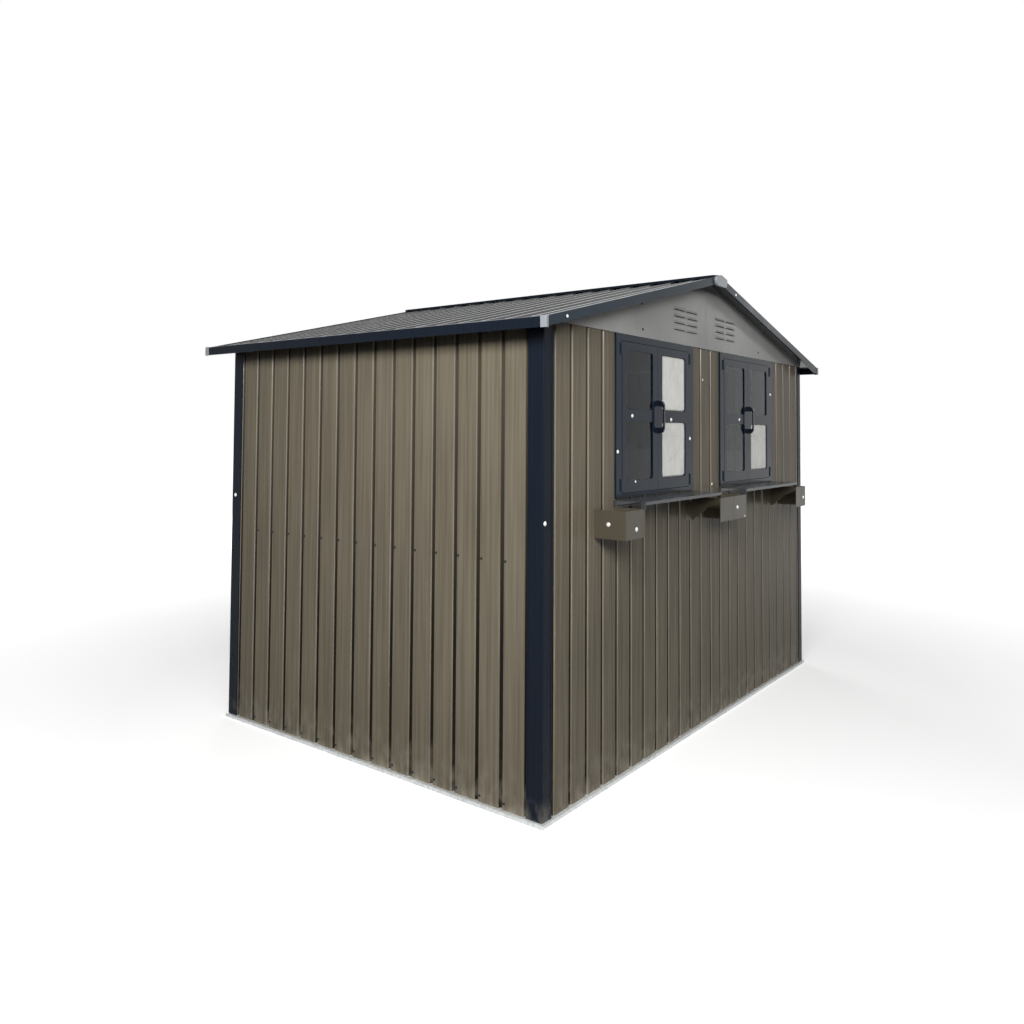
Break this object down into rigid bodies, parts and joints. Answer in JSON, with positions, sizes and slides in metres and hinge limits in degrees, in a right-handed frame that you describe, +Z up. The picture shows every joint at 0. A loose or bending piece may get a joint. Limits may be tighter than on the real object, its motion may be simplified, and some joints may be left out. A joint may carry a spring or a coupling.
{
  "type": "metal storage shed",
  "caption": "Gabled sheet-metal storage shed with grooved walls, paired casement windows, counter shelves on box brackets and a plain rear door pair.",
  "frame": {"origin": "centre of the whole outline, on the ground that the base rails stand on", "axes": "+Z up; +X along the front wall, to the right as seen from in front; -Y out of the front wall with the windows"},
  "size_m": [2.996, 2.127, 2.1763],
  "materials": {
    "galvanised": "plain galvanised sheet",
    "post_navy": "satin near-black navy",
    "wall_taupe": "glossy taupe",
    "gable_grey": "glossy grey taupe",
    "roof_brown": "glossy dark grey brown",
    "rake_slate": "satin slate",
    "cap_grey": "light grey",
    "window_slate": "glossy dark slate",
    "clear_pane": "clear acrylic sheet",
    "handle_black": "glossy near-black",
    "shelf_grey": "glossy slate grey",
    "bracket_taupe": "glossy taupe"
  },
  "bodies": {
    "root": {"base_rail_back": "galvanised", "base_rail_front": "galvanised", "base_rail_left": "galvanised", "base_rail_right": "galvanised", "corner_post_back_left": "post_navy", "corner_post_back_right": "post_navy", "corner_post_front_left": "post_navy", "corner_post_front_right": "post_navy", "door_frame": "post_navy", "door_handles": "handle_black", "door_left_leaf": "wall_taupe", "door_right_leaf": "wall_taupe", "eave_trim_left": "post_navy", "eave_trim_right": "post_navy", "gable_back": "gable_grey", "gable_front": "gable_grey", "left_counter_shelf": "shelf_grey", "left_shelf_left_bracket": "bracket_taupe", "left_shelf_right_bracket": "bracket_taupe", "left_window_frame": "window_slate", "left_window_handle": "handle_black", "left_window_left_leaf": "window_slate", "left_window_panes": "clear_pane", "left_window_right_leaf": "window_slate", "rake_trim_back": "rake_slate", "rake_trim_front": "rake_slate", "ridge_cap": "post_navy", "right_counter_shelf": "shelf_grey", "right_shelf_left_bracket": "bracket_taupe", "right_shelf_right_bracket": "bracket_taupe", "right_window_frame": "window_slate", "right_window_handle": "handle_black", "right_window_left_leaf": "window_slate", "right_window_panes": "clear_pane", "right_window_right_leaf": "window_slate", "roof_end_caps": "cap_grey", "roof_left": "roof_brown", "roof_right": "roof_brown", "wall_back": "wall_taupe", "wall_braces": "galvanised", "wall_front_left": "wall_taupe", "wall_front_middle": "wall_taupe", "wall_front_right": "wall_taupe", "wall_left": "wall_taupe", "wall_right": "wall_taupe"}
  },
  "joints": []
}
